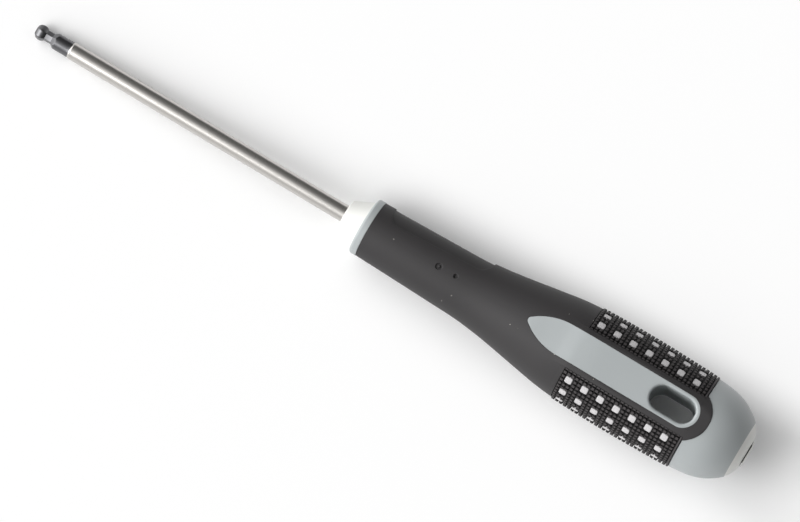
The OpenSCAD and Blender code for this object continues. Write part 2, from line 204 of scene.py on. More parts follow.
class FinishColours(PropertyGroup):
    chrome: colour("Chrome", "Satin chrome on the shaft", "#C9C6C2")
    oxide: colour("Black oxide", "Blackened tip", "#6C6C6E")
    grey: colour("Grey", "Grey polypropylene of tongues and butt", "#A9AEAF")
    white: colour("White", "White polypropylene of nose and cone", "#E4E4E0")
    # painted shade: the studs are the same white plastic as the nose, given a darker copy of it as
    # the shade in their windows
    stud: colour("Stud", "White polypropylene of the studs, dulled by use", "#CBC9CA")
    rubber: colour("Rubber", "Black rubber of the grip", "#2D2B2C")
    # painted light and shade: the next colour is a paler rubber painted on the bumps' tops as
    # their highlight, the one after it a darker rubber painted over the pads' grooves and slopes
    # as their shade
    lit_bump_tops: colour("Worn rubber", "Tops of the bumps, where hands rub them paler", "#3C3839")
    clean: colour("Clean rubber", "Grooves between the bumps, where nothing rubs", "#171516")
    floor: colour("Floor", "Pale table", "#FFFFFF")


class StudioSettings(PropertyGroup):
    lens: FloatProperty(name="Lens", description="Focal length", default=253.29,
                        unit="CAMERA")
    distance: FloatProperty(name="Distance", description="From camera to tool", default=1.5,
                            unit="LENGTH")
    azimuth: FloatProperty(name="Azimuth", description="Side from which the camera looks",
                           default=np.radians(163.447), subtype="ANGLE")
    elevation: FloatProperty(name="Elevation", description="Camera above the horizon",
                             default=np.radians(84.457), subtype="ANGLE")
    roll: FloatProperty(name="Roll", description="Turn of the camera about its own axis",
                        default=np.radians(14.739), subtype="ANGLE")
    target: FloatVectorProperty(name="Target", description="Place in the middle of the view",
                                default=(-5.033 * MM, 3.323 * MM, 10 * MM), subtype="XYZ")
    key: FloatProperty(name="Key light", description="Lamp on the near side of the tip",
                       default=5.0, unit="POWER")
    fill: FloatProperty(name="Fill light", description="Lamp beyond the butt", default=1.0,
                        unit="POWER")
    wall: FloatProperty(name="Wall", description="Brightness of the pale wall on the near side",
                        default=0.55)
    window: FloatProperty(name="Window", description="Brightness of the window beyond the tip",
                          default=1.7)
    room: FloatProperty(name="Room", description="Brightness of the rest of the room",
                        default=0.12)


# ---------------------------------------------------------------- helpers for meshes


def smooth_step(value, low, high):
    """0 below low and 1 above high, with level ends."""
    t = np.clip((value - low) / (high - low), 0, 1)
    return t * t * (3 - 2 * t)


def softer_min(a, b, blend):
    """The smaller of two heights, with the crease between them rounded over blend."""
    t = np.clip(0.5 + (b - a) / (2 * blend), 0, 1)
    return b + (a - b) * t - blend * t * (1 - t)


def rounding(distance, radius):
    """How far a rounded edge has dropped at a distance in from it: a quarter circle."""
    left = np.clip(1 - distance / radius, 0, 1)
    return radius * (1 - np.sqrt(1 - left * left))


def quads(rows, columns, closed_rows=False, closed_columns=False):
    """Corner numbers of the quads between neighbouring rows and columns of a grid."""
    number = np.arange(rows * columns).reshape(rows, columns)
    if closed_rows:
        number = np.vstack([number, number[:1]])
    if closed_columns:
        number = np.hstack([number, number[:, :1]])
    corners = (number[:-1, :-1], number[:-1, 1:], number[1:, 1:], number[1:, :-1])
    return np.stack(corners, -1).reshape(-1, 4)


def closed_grid(points):
    """A grid of points whose rows and columns both run on into their first again."""
    rows, columns = points.shape[:2]
    return points, quads(rows, columns, closed_rows=True, closed_columns=True)


def turned(profile, columns=192):
    """A section of heights and radii carried once round the axis: a grid of section by turn."""
    angle = np.linspace(0, 2 * np.pi, columns, endpoint=False)
    height, radius = np.array(profile, float).T
    points = around(height[:, None], radius[:, None], angle[None, :])
    return points, quads(len(profile), columns, closed_columns=True)


def ring_body(profile, columns=192):
    """A closed section carried once round the axis, so that it makes a ring."""
    points, _ = turned(profile, columns)
    return closed_grid(points)


def shell(grid, material=0):
    """Points and faces of a grid with the number of its material."""
    points, faces = grid
    return points.reshape(-1, 3), faces if isinstance(faces, list) else [faces], material


def closed_mesh(name, shells):
    """A mesh of closed shells, with their poles and seams merged and faces turned outwards."""
    starts = np.cumsum([0] + [len(points) for points, _, _ in shells])
    blocks = [(block + start, number)
              for (_, faces, number), start in zip(shells, starts) for block in faces]
    sides = np.concatenate([np.full(len(block), block.shape[1]) for block, _ in blocks])
    mesh = bpy.data.meshes.new(name)
    mesh.vertices.add(starts[-1])
    mesh.vertices.foreach_set("co", np.concatenate([points for points, _, _ in shells]).ravel())
    mesh.loops.add(int(sides.sum()))
    mesh.loops.foreach_set("vertex_index", np.concatenate([b.ravel() for b, _ in blocks]))
    mesh.polygons.add(len(sides))
    mesh.polygons.foreach_set("loop_start", np.concatenate([[0], np.cumsum(sides)[:-1]]))
    mesh.polygons.foreach_set("material_index",
                              np.concatenate([np.full(len(b), number) for b, number in blocks]))
    mesh.update(calc_edges=True)
    mesh.validate()
    cleaned = bmesh.new()
    cleaned.from_mesh(mesh)
    bmesh.ops.remove_doubles(cleaned, verts=cleaned.verts, dist=0.002 * MM)
    bmesh.ops.recalc_face_normals(cleaned, faces=cleaned.faces)
    cleaned.to_mesh(mesh)
    cleaned.free()
    return mesh


def cut(body, cutter):
    """A shell less another, as points and blocks of faces with as many sides each."""
    scene = bpy.context.scene
    made = []
    for name, part in (("body", body), ("cutter", cutter)):
        made.append(bpy.data.objects.new(name, closed_mesh(name, [part])))
        scene.collection.objects.link(made[-1])
    difference = made[0].modifiers.new("difference", "BOOLEAN")
    difference.operation, difference.solver = "DIFFERENCE", "EXACT"
    difference.object = made[1]
    result = made[0].evaluated_get(bpy.context.evaluated_depsgraph_get()).to_mesh()
    points, corners = np.empty(len(result.vertices) * 3), np.empty(len(result.loops), int)
    start, sides = np.empty(len(result.polygons), int), np.empty(len(result.polygons), int)
    result.vertices.foreach_get("co", points)
    result.loops.foreach_get("vertex_index", corners)
    result.polygons.foreach_get("loop_start", start)
    result.polygons.foreach_get("loop_total", sides)
    faces = [corners[start[sides == n][:, None] + np.arange(n)] for n in np.unique(sides)]
    for piece in made:
        bpy.data.objects.remove(piece)
    return points.reshape(-1, 3), faces


def add_piece(name, node, shells, materials, sharp=35.0):
    """Makes one object from closed shells. Edges that turn by more than sharp degrees stay
    crisp."""
    mesh = closed_mesh(name, shells)
    mesh.shade_smooth()
    mesh.set_sharp_from_angle(angle=np.radians(sharp))
    piece = bpy.data.objects.new(name, mesh)
    bpy.context.scene.collection.objects.link(piece)
    for material in materials:
        mesh.materials.append(material)
    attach(piece, BODY)
    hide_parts(node)


# ---------------------------------------------------------------- form of the handle


def handle_radius(height):
    """Radius of the handle's round form: a cubic between each two stations that keeps their
    radii and slopes. A station is a height, a radius and a slope, in millimetres."""
    handle = bpy.context.scene.driver_handle
    barrel = handle.barrel_radius / MM
    flare, hollow = (61.3, barrel - 1.32), (72.3, 10.7)
    neck = (88.3, 8.87), (handle.sleeve_front / MM, 8.05)
    flare_slope = (hollow[1] - flare[1]) / (hollow[0] - flare[0])
    neck_slope = (neck[1][1] - neck[0][1]) / (neck[1][0] - neck[0][0])
    stations = np.array([
        (handle.cone / MM, handle.crease_radius / MM, 0.95),
        (13.3, barrel - 0.8, 0.1),
        (22.3, barrel - 0.25, 0.02),
        (35.3, barrel, 0),
        (52.3, barrel - 0.32, -0.05),
        (*flare, flare_slope),
        (*hollow, flare_slope),
        (*neck[0], neck_slope),
        (*neck[1], neck_slope),
    ])
    z = np.asarray(height, float) / MM
    i = np.clip(np.searchsorted(stations[:, 0], z, side="right") - 1, 0, len(stations) - 2)
    (z0, r0, m0), (z1, r1, m1) = stations[i].T, stations[i + 1].T
    span = (z1 - z0).T
    t = (z - z0.T) / span
    return MM * ((2 * t**3 - 3 * t**2 + 1) * r0.T + (t**3 - 2 * t**2 + t) * span * m0.T
                 + (3 * t**2 - 2 * t**3) * r1.T + (t**3 - t**2) * span * m1.T)


def crown_radius(height):
    """Radius of the raised round that tongues and borders share, faded out past the pads."""
    tongue, pads = bpy.context.scene.driver_tongue, bpy.context.scene.driver_pads
    fade = (tongue.point_start - height) / (tongue.point_start - pads.front)
    return handle_radius(height) + tongue.border_rise * np.clip(fade, 0, 1)


def point_arc(tongue):
    """Radius of the two arcs of the tongue's point, and where the small round tip takes over."""
    half, tip = tongue.width / 2, tongue.tip_radius
    run = tongue.point - tip
    radius = (run**2 / (half - tip) + tip + half) / 2
    return radius, tongue.point_start + run * radius / (radius - tip)


def tongue_half(height):
    """Half the tongue's width: a round rear end, straight sides, and a point of two arcs."""
    tongue = bpy.context.scene.driver_tongue
    half = tongue.width / 2
    arc, touch = point_arc(tongue)
    forward = np.clip(height - tongue.point_start, 0, None)
    point = np.sqrt(np.clip(arc**2 - forward**2, 0, None)) - arc + half
    ahead = height - (tongue.point_start + tongue.point - tongue.tip_radius)
    tip = np.sqrt(np.clip(tongue.tip_radius**2 - ahead**2, 0, None))
    behind = np.clip(tongue.slot_rear - height, 0, None)
    rear = np.sqrt(np.clip(tongue.end_radius**2 - behind**2, 0, None))
    rear = np.clip(softer_min(rear, half, tongue.end_blend), 0, None)
    body = np.where(height < tongue.slot_rear, rear, point)
    return np.where(height > touch, tip, body)


def border_half(height):
    """Half the width of tongue and border: a round rear end, then straight sides."""
    tongue, pads = bpy.context.scene.driver_tongue, bpy.context.scene.driver_pads
    behind = np.clip(tongue.slot_rear - height, 0, None)
    rear = np.sqrt(np.clip(tongue.border_radius**2 - behind**2, 0, None))
    return np.where(height < pads.rear, rear, tongue.width / 2 + tongue.border)


def flat_height(height, drop=0.0):
    """Height of the flat above the axis: level on the barrel, and towards the point just
    where it meets the round form at the tongue's edge, less drop."""
    tongue, handle = bpy.context.scene.driver_tongue, bpy.context.scene.driver_handle
    edge = np.sqrt(crown_radius(height)**2 - tongue_half(height)**2) - drop
    level = handle.barrel_radius - tongue.flat_drop
    # on the barrel only the level counts, so the edge is put out of the way there
    barrel_end, out_of_way = 40 * MM, level + MM
    edge = np.where(height < barrel_end, out_of_way, edge)
    return softer_min(edge, level, 0.06 * MM)


# ---------------------------------------------------------------- grip sleeve


def sleeve_rows(tongue, pads, neck, front):
    """Heights of the sleeve's rows: close together where an outline turns or a step lies."""
    step = 0.004 * MM
    fine = np.radians([0, 4, 7, 10, 13, 17, 22, 28, 35, 43, 52, 60, 70, 80, 90])
    border_end = tongue.slot_rear - tongue.border_radius * np.cos(fine)
    tongue_end = tongue.slot_rear - tongue.end_radius * np.cos(fine)
    tip = tongue.point_start + tongue.point
    tip_rows = tip - tongue.tip_radius * (1 - np.cos(fine[:12]))
    corner = neck.panel_corner * (1 - np.cos(np.radians([12, 24, 36, 48, 60, 75, 90])))
    panel_front = neck.panel_rear + neck.panel
    rim = np.array([0, 0.03, 0.07, 0.12, 0.3]) * MM
    marks = np.linspace(-1.1, 1.1, 21) * MM
    steps = np.array([border_end[0], tongue_end[0], pads.rear, pads.front, tip,
                      neck.panel_rear, panel_front])
    rows = np.concatenate([
        steps - step, steps + step, border_end, tongue_end, tip_rows,
        [border_end[0] - 0.3 * MM],
        np.arange(tongue.slot_rear + MM, pads.front - MM, 3 * MM),
        np.arange(pads.front + 0.6 * MM, tip - 1.5 * MM, 0.9 * MM),
        np.arange(tip + 1.5 * MM, neck.panel_rear - 0.5 * MM, MM),
        neck.panel_rear - rim, neck.panel_rear + rim, neck.panel_rear + corner,
        np.arange(neck.panel_rear + 4 * MM, panel_front - 3 * MM, 1.3 * MM),
        panel_front - corner, panel_front - rim, panel_front + rim,
        neck.gate + marks, neck.pin + marks,
        [front - 1.5 * MM, front - 0.4 * MM, front - 0.1 * MM, front - 0.03 * MM, front],
    ])
    rows = np.unique(np.round(rows, 8))
    return rows[np.concatenate([[True], np.diff(rows) > 0.0021 * MM])]


def panel_distance(height, up, neck):
    """Distance inside the rounded outline of the recessed panel, negative outside it."""
    half_length, half_width, corner = neck.panel / 2, neck.panel_width / 2, neck.panel_corner
    a = np.abs(height - neck.panel_rear - half_length) - (half_length - corner)
    b = np.abs(up) - (half_width - corner)
    outside = np.hypot(np.clip(a, 0, None), np.clip(b, 0, None))
    return corner - outside - np.clip(np.maximum(a, b), None, 0)


def sleeve_zones(scene, z, round_r, crown_r, level):
    """Angles over a quarter turn, and the zone that each belongs to: tongue pocket, border,
    field or panel. The zones' edges follow the outlines of tongue, border and panel."""
    tongue, neck = scene.driver_tongue, scene.driver_neck
    least = np.radians(1.2)
    tip = tongue.point_start + tongue.point

    def edge_angle(half):
        up = np.minimum(level, np.sqrt(np.clip(crown_r**2 - half**2, 0, None)))
        return np.arctan2(half, up)

    # where there is no tongue, the edges spread out evenly again
    past_tip = smooth_step(z, tip, tip + 10 * MM)
    first = np.maximum(edge_angle(tongue_half(z)), least) * (1 - past_tip) \
        + np.radians(6) * past_tip
    past_pads = smooth_step(z, tongue.point_start, neck.panel_rear)
    second = np.maximum(edge_angle(border_half(z)), 2 * least) * (1 - past_pads) \
        + np.radians(20) * past_pads
    from_end = np.clip(np.minimum(z - neck.panel_rear, neck.panel_rear + neck.panel - z),
                       0, neck.panel_corner)
    rounded = np.sqrt(neck.panel_corner**2 - (neck.panel_corner - from_end)**2)
    panel_half = neck.panel_width / 2 - neck.panel_corner + rounded
    third = np.pi / 2 - np.arcsin(panel_half / np.maximum(round_r, 8 * MM))

    # columns of each zone, close together where an edge is rounded
    fractions = (
        np.linspace(0, 1, 9),
        np.array([0, 0.015, 0.04, 0.1, 0.2, 0.35, 0.5, 0.65, 0.84, 0.9, 0.94, 0.97, 0.99, 1]),
        np.array([0, 0.06, 0.2, 0.4, 0.6, 0.8, 0.94, 0.975, 0.988, 1]),
        np.array([0, 0.006, 0.015, 0.04, 0.1, 0.2, 0.33, 0.47, 0.6, 0.74, 0.87, 1]),
    )
    edges = (np.zeros_like(z), first, second, third, np.full_like(z, np.pi / 2))
    angle = np.hstack([low + (high - low) * part
                       for low, high, part in zip(edges, edges[1:], fractions)])
    zone = np.concatenate([np.full(len(part), i) for i, part in enumerate(fractions)])[None, :]
    return angle, zone


def zone_radius(scene, z, angle, zone, round_r, crown_r, level):
    """Radius of each zone: the crown with its rounded edges on the border, sunk below the
    tongue and below the pads, and the handle's round form on the neck."""
    tongue, pads = scene.driver_tongue, scene.driver_pads
    tip = tongue.point_start + tongue.point
    border_start = tongue.slot_rear - tongue.border_radius
    crown = softer_min(level / np.cos(np.minimum(angle, 1.2)), crown_r, 0.05 * MM)
    across = crown * np.sin(angle)
    rear_distance = tongue.border_radius - np.hypot(tongue.slot_rear - z, across)
    side_distance = tongue.width / 2 + tongue.border - across
    from_edge = np.where(z < pads.rear, rear_distance, side_distance)
    keep_edge = smooth_step(z, tongue.point_start, pads.front)
    crown = crown - rounding(np.clip(from_edge, 0, None), tongue.border_edge) * keep_edge
    from_tongue = np.abs(across) - tongue_half(z)
    rear_gap = np.hypot(tongue.slot_rear - z, across) - tongue.end_radius
    from_tongue = np.where(z < tongue.slot_rear - tongue.end_radius / 2, rear_gap, from_tongue)
    near_tongue = (z < tip + MM) & (zone == 1)
    crown = crown - np.where(near_tongue, rounding(np.clip(from_tongue, 0, None), tongue.edge), 0)
    hidden = handle_radius(np.maximum(z, border_start)) - SUNK
    under_pads = round_r - 0.9 * MM
    field = np.where(z < pads.rear, hidden, np.where(z < pads.front, under_pads, round_r))
    pocket = (z > tongue.slot_rear - tongue.end_radius) & (z < tip)
    in_tongue = np.where(pocket, crown - SUNK, crown)
    radius = np.where(zone == 0, in_tongue, np.where(zone == 1, crown, field))
    return np.where(z < border_start, hidden, radius)


def panel_dip(neck, z, angle, zone, radius):
    """Depth of the recessed panel below the round form, its rim rounded on both sides."""
    panel_front = neck.panel_rear + neck.panel
    d = panel_distance(z, radius * np.cos(angle), neck)
    inside = (zone == 3) & (z > neck.panel_rear) & (z < panel_front)
    floor = neck.panel_depth - rounding(np.clip(d, 0, None), neck.panel_edge)
    dip = np.where(inside, floor, rounding(np.clip(-d, 0, None), neck.panel_edge))
    return np.where((z > neck.panel_rear - MM) & (z < panel_front + MM), dip, 0)


def mould_marks(neck, z, angle, radius):
    """Depth of the two marks by the distance from each: the gate's is a ring 0.4 mm deep,
    from 0.4 to 0.9 mm out, and the pin's a dimple 0.6 mm deep and 0.55 mm in radius."""
    from_gate = np.hypot(z - neck.gate, radius * np.sin(angle))
    from_pin = np.hypot(z - neck.pin, radius * np.sin(angle))
    gate = (smooth_step(from_gate, 0.35 * MM, 0.45 * MM)
            * smooth_step(-from_gate, -0.95 * MM, -0.8 * MM))
    pin = smooth_step(-from_pin, -0.65 * MM, -0.45 * MM)
    return 0.4 * MM * gate, 0.6 * MM * pin


def sleeve_surface(scene):
    """The sleeve's outside as a grid of heights by angles.

    A quarter turn has four zones side by side, each with its own radius, so a wall stands
    wherever two zones differ. The other quarters mirror it. The panel is on one side only,
    the mould's marks are on top only."""
    neck, front = scene.driver_neck, scene.driver_handle.sleeve_front
    z = sleeve_rows(scene.driver_tongue, scene.driver_pads, neck, front)[:, None]
    form = handle_radius(z), crown_radius(z), flat_height(z)
    angle, zone = sleeve_zones(scene, z, *form)
    plain = zone_radius(scene, z, angle, zone, *form) - rounding(front - z, 0.1 * MM)
    dip = panel_dip(neck, z, angle, zone, plain)
    gate, pin = mould_marks(neck, z, angle, plain)
    marked = plain - gate - pin
    quarters = (
        (angle, marked), (np.pi - angle[:, ::-1], plain[:, ::-1]),
        (np.pi + angle, plain - dip), (2 * np.pi - angle[:, ::-1], (marked - dip)[:, ::-1]),
    )
    return z, np.hstack([a for a, _ in quarters]), np.hstack([r for _, r in quarters])


def sleeve_tube(scene):
    """The sleeve's outside, closed by a plain inner cone, with the hanging slot cut out."""
    z, angle, radius = sleeve_surface(scene)
    front_bore, rear_bore = 5.3 * MM, 10.3 * MM
    inner = [around(z[row], np.full_like(angle[row], bore), angle[row])[None]
             for row, bore in ((-1, front_bore), (0, rear_bore))]
    tube = closed_grid(np.concatenate([around(z, radius, angle), *inner]))
    return cut(shell(tube), shell(slot_prism(scene.driver_tongue, scene.driver_handle)))


def slot_prism(tongue, handle):
    """A prism a little wider than the hanging slot, right through the handle."""
    turn = np.linspace(0, 2 * np.pi, 96, endpoint=False)[None, :]
    height, across = stadium(tongue, tongue.slot_width / 2 + 0.3 * MM, turn)
    ends = np.array([[-1.5], [1.5]]) * handle.barrel_radius
    points = lay_down(height, ends, across)
    rows, columns = points.shape[:2]
    return points, [quads(rows, columns, closed_columns=True),
                    np.arange(rows * columns).reshape(rows, columns)]


def bump_samples(count, way):
    """Where the grid has a line, in bump pitches, over count bumps: the foot and the top of
    each bump's two slopes, and the middle of the groove in front of it."""
    return np.concatenate([(np.arange(count)[:, None] + BUMP_LINES[way]).ravel(), [count]])


def bump_height(a, b, pads):
    """Height of the bumps at a and b, in bump pitches: slopes up and down both ways, and
    the lower of the two."""
    shape = [0, 0, 1, 1, 0, 0]
    along = np.interp(a % 1, [*BUMP_LINES["along"], 1], shape)
    round_about = np.interp(b % 1, [*BUMP_LINES["round"], 1], shape)
    return (pads.rise + pads.groove) * along * round_about - pads.groove


def pad_surface(scene):
    """One textured pad as a grid of heights by angles, cut off along the straight border."""
    tongue, pads = scene.driver_tongue, scene.driver_pads
    first_row = np.pi / 2 - pads.rows / 2 * pads.turn
    rim_a = np.array([-1, -0.94, -0.84, -0.7, -0.3, -0.1]) * pads.rim / pads.pitch
    a = np.concatenate([rim_a, bump_samples(pads.columns, "along")])[:, None]
    z = pads.rear + pads.rim + a * pads.pitch
    angle = first_row + bump_samples(pads.rows, "round")[None, :] * pads.turn
    edge = np.arcsin((tongue.width / 2 + tongue.border - 0.02 * MM) / crown_radius(z))
    angle = np.clip(angle, edge, np.pi - edge)
    b = (angle - first_row) / pads.turn
    height = bump_height(a, b, pads)
    rim_drop = rounding(a * pads.pitch + pads.rim, 0.2 * MM)
    rim = (pads.rise + pads.groove) * smooth_step(-a * pads.pitch, 0, 0.1 * MM) - pads.groove
    height = np.where(a < 0, rim - rim_drop, height)
    height = np.where(window_mask(a, b), -pads.groove, height)
    return z, angle, handle_radius(z) + height


def window_mask(a, b):
    """Inside the square windows, two bumps wide, in which the studs stand: every second pair
    of bumps, both along and round the handle."""
    return (a > 0) & ((a - 2) % 4 < 2) & ((b - 2) % 4 < 2)


def grip_pad(scene, side):
    """A pad closed by two end faces and by flat strips deep inside the handle."""
    z, angle, radius = pad_surface(scene)
    outside = around(z, radius, angle * side)
    foot = around(z[:, [0, 0]], (handle_radius(z) - SUNK)[:, [0, 0]],
                  np.stack([angle[:, 0], angle[:, -1]], -1) * side)
    points = np.concatenate([foot[:, :1], outside, foot[:, 1:]], 1)
    rows, columns = points.shape[:2]
    number = np.arange(rows * columns).reshape(rows, columns)
    under = np.stack([number[:-1, 0], number[:-1, -1], number[1:, -1], number[1:, 0]], -1)
    # painted light and shade: the faces on the bumps' tops get a paler rubber as their highlight,
    # the grooves and slopes a darker rubber as their shade
    high = np.zeros((rows, columns), bool)
    high[:, 1:-1] = radius > handle_radius(z) + 0.9 * scene.driver_pads.rise
    lit_bump_tops = (high[:-1, :-1] & high[1:, :-1] & high[:-1, 1:] & high[1:, 1:]).ravel()
    faces, points = quads(rows, columns), points.reshape(-1, 3)
    return [(points, [faces[~lit_bump_tops], under, number[[0, -1]]], 2), (points, [faces[lit_bump_tops]], 1)]


class DRIVER_OT_grip_sleeve(Operator):
    """Black rubber sleeve: smooth neck and borders, and a textured pad on either side"""
    bl_idname = "driver.grip_sleeve"
    bl_label = "Grip Sleeve"

    def execute(self, context):
        scene = context.scene
        shells = [shell(sleeve_tube(scene)), *grip_pad(scene, 1), *grip_pad(scene, -1)]
        finish = scene.driver_finish
        add_piece("grip_sleeve_skin", "grip_sleeve", shells,
                  # the second rubber is painted highlight on the bumps' tops, the third painted
                  # shade over the pads' grooves and slopes
                  [moulded_rubber("black_thermoplastic_rubber", finish.rubber),
                   moulded_rubber("black_thermoplastic_rubber_painted_highlight", finish.lit_bump_tops),
                   moulded_rubber("black_thermoplastic_rubber_painted_shade", finish.clean)], sharp=62)
        return {"FINISHED"}


# ---------------------------------------------------------------- handle body


def stadium(tongue, radius, angle):
    """Plan of the slot grown to a radius, by the angle of its outward normal from the rear."""
    rear = tongue.slot_rear
    fore = rear + tongue.slot_length - tongue.slot_width
    centre = np.where(np.cos(angle) > 0, rear, fore)
    return centre - radius * np.cos(angle), radius * np.sin(angle)


def tongue_loops(tongue):
    """Matching places on the slot's outline and on the tongue's, from the rear end round.

    Round the rear end both share a centre, along the sides both run straight, and the front
    of the slot fans out over the tongue's point."""
    rear = tongue.slot_rear
    fore = rear + tongue.slot_length - tongue.slot_width
    half = tongue.width / 2
    turn = np.linspace(0, np.pi / 2, 40)
    side_reach = half / np.maximum(np.sin(turn), 1e-3)
    reach = softer_min(tongue.end_radius, side_reach, tongue.end_blend)
    outline = [np.stack([rear - reach * np.cos(turn), reach * np.sin(turn)], -1)]
    inner_angle, inner_shift = [turn], [np.zeros_like(turn)]
    side = np.linspace(0, 1, 8)[1:]
    outline.append(np.stack([rear + side * (fore - rear), np.full_like(side, half)], -1))
    inner_angle.append(np.full_like(side, np.pi / 2))
    inner_shift.append(side * (fore - rear))
    # the point: straight side, arc and small round tip, spread by how far round it they are
    arc, touch = point_arc(tongue)
    swing = np.arcsin((touch - tongue.point_start) / arc)
    straight = np.linspace(fore, tongue.point_start, 24)[1:]
    bend = np.linspace(0, swing, 34)[1:]
    tip_centre = tongue.point_start + tongue.point - tongue.tip_radius
    tip_turn = np.linspace(swing, np.pi / 2, 14)[1:]
    outline.append(np.stack([straight, np.full_like(straight, half)], -1))
    outline.append(np.stack([tongue.point_start + arc * np.sin(bend),
                             half - arc * (1 - np.cos(bend))], -1))
    outline.append(np.stack([tip_centre + tongue.tip_radius * np.sin(tip_turn),
                             tongue.tip_radius * np.cos(tip_turn)], -1))
    count = len(straight) + len(bend) + len(tip_turn)
    inner_angle.append(np.pi / 2 + np.linspace(0, np.pi / 2, count + 1)[1:])
    inner_shift.append(np.full(count, fore - rear))
    outline = np.concatenate(outline)
    angle, shift = np.concatenate(inner_angle), np.concatenate(inner_shift)
    mirrored = outline[-2:0:-1] * (1, -1)
    return (np.concatenate([outline, mirrored]),
            np.concatenate([angle, 2 * np.pi - angle[-2:0:-1]]),
            np.concatenate([shift, shift[-2:0:-1]]))


def tongues(scene):
    """Both tongues and the slot between them as one closed grid: loops round the slot by steps
    that run from the outer edge over the flat and the rim, down the slot, and back inside."""
    tongue, handle = scene.driver_tongue, scene.driver_handle
    outline, angle, shift = tongue_loops(tongue)
    normal = np.roll(outline, -1, 0) - np.roll(outline, 1, 0)
    normal = np.stack([-normal[:, 1], normal[:, 0]], -1)
    normal /= np.linalg.norm(normal, axis=1, keepdims=True)
    middle = np.array([tongue.slot_rear, 0])
    inward = normal * np.sign(((middle - outline) * normal).sum(1, keepdims=True))

    def slot_loop(radius):
        return np.stack([tongue.slot_rear + shift - radius * np.cos(angle),
                         radius * np.sin(angle)], -1)

    slot_radius = tongue.slot_width / 2
    edge, lip = tongue.edge, tongue.lip
    depth = handle.cover
    loops, drops = [outline, outline], [depth, edge]
    for turn in np.radians([30, 60, 90]):
        loops.append(outline + inward * edge * (1 - np.cos(turn)))
        drops.append(edge * (1 - np.sin(turn)))
    rim = slot_loop(slot_radius + lip)
    for part in np.linspace(0, 1, 42)[1:]:
        loops.append(loops[4] + (rim - loops[4]) * part)
        drops.append(0)
    for turn in np.radians([12, 24, 36, 48, 60, 72, 84, 90]):
        loops.append(slot_loop(slot_radius + lip * (1 - np.sin(turn))))
        drops.append(lip * (1 - np.cos(turn)))
    plan, drops = np.array(loops), np.array(drops)[:, None]
    z, across = plan[..., 0], plan[..., 1]
    crown = np.sqrt(np.clip(crown_radius(z)**2 - across**2, 0, None))
    top = softer_min(flat_height(z, tongue.point_drop), crown, 0.05 * MM) - drops
    upper = lay_down(z, top, across)
    lower = lay_down(z, -top, across)[::-1]
    lining = slot_loop(slot_radius + tongue.lining)
    reach = handle.barrel_radius - tongue.flat_drop - depth
    inside = [lay_down(lining[:, 0], np.full(len(lining), up), lining[:, 1])[None]
              for up in (-reach, reach)]
    return closed_grid(np.concatenate([upper, lower, *inside]))


def butt_shell(scene):
    """The grey butt: the handle's round form, sunk a little where the border lies on it."""
    handle, tongue, pads = scene.driver_handle, scene.driver_tongue, scene.driver_pads
    start, end = handle.cone, pads.rear + 0.4 * MM
    edge = np.array([0.0, 0.04, 0.1, 0.2]) * MM
    side = np.arange(start + 0.45 * MM, end, 0.33 * MM)
    z = np.concatenate([start + edge, side, [end]])[:, None]
    angle = np.linspace(0, 2 * np.pi, 288, endpoint=False)[None, :]
    radius = handle_radius(z)
    across = radius * np.abs(np.sin(angle))
    inside_border = np.where(z < pads.rear,
                             tongue.border_radius - np.hypot(tongue.slot_rear - z, across), MM)
    radius = radius - SUNK * smooth_step(inside_border, 0.3 * MM, 0.8 * MM)
    radius = radius - 0.7 * rounding(z - start, 0.2 * MM)
    bore = np.full_like(angle, 5.5 * MM)
    inside = [around(np.full_like(angle, at), bore, angle) for at in (end, start)]
    return closed_grid(np.concatenate([around(z, radius, angle), *inside]))


def front_ring(scene):
    """Ring in front of the rubber with its rounded front edge, and the tube under the neck."""
    handle = scene.driver_handle
    rear, front = handle.sleeve_front, handle.sleeve_front + handle.ring
    outer = handle_radius(rear) + handle.ring_rise
    rounded, chamfer = 0.8 * MM, 0.06 * MM
    turn = np.linspace(0, np.pi / 2, 9)
    arc = np.stack([front - rounded + rounded * np.sin(turn),
                    outer - rounded + rounded * np.cos(turn)], -1)
    tube = np.linspace(rear, handle.core_front, 12)
    under = np.stack([tube, handle_radius(tube) - handle.cover], -1)
    return ring_body(np.concatenate([
        [[handle.core_front, handle.spindle], [front, handle.spindle], [front, handle.nose_base]],
        arc[::-1],
        [[rear + chamfer, outer], [rear, outer - chamfer]],
        under,
    ]))


class DRIVER_OT_handle_body(Operator):
    """Grey plastic body: butt shell, both tongues with the hanging slot, and the front ring"""
    bl_idname = "driver.handle_body"
    bl_label = "Handle Body"

    def execute(self, context):
        scene = context.scene
        shells = [shell(tongues(scene)), shell(butt_shell(scene)), shell(front_ring(scene))]
        add_piece("handle_body_skin", "handle_body", shells,
                  [moulded_grey(scene.driver_finish)])
        return {"FINISHED"}


# ---------------------------------------------------------------- inner core


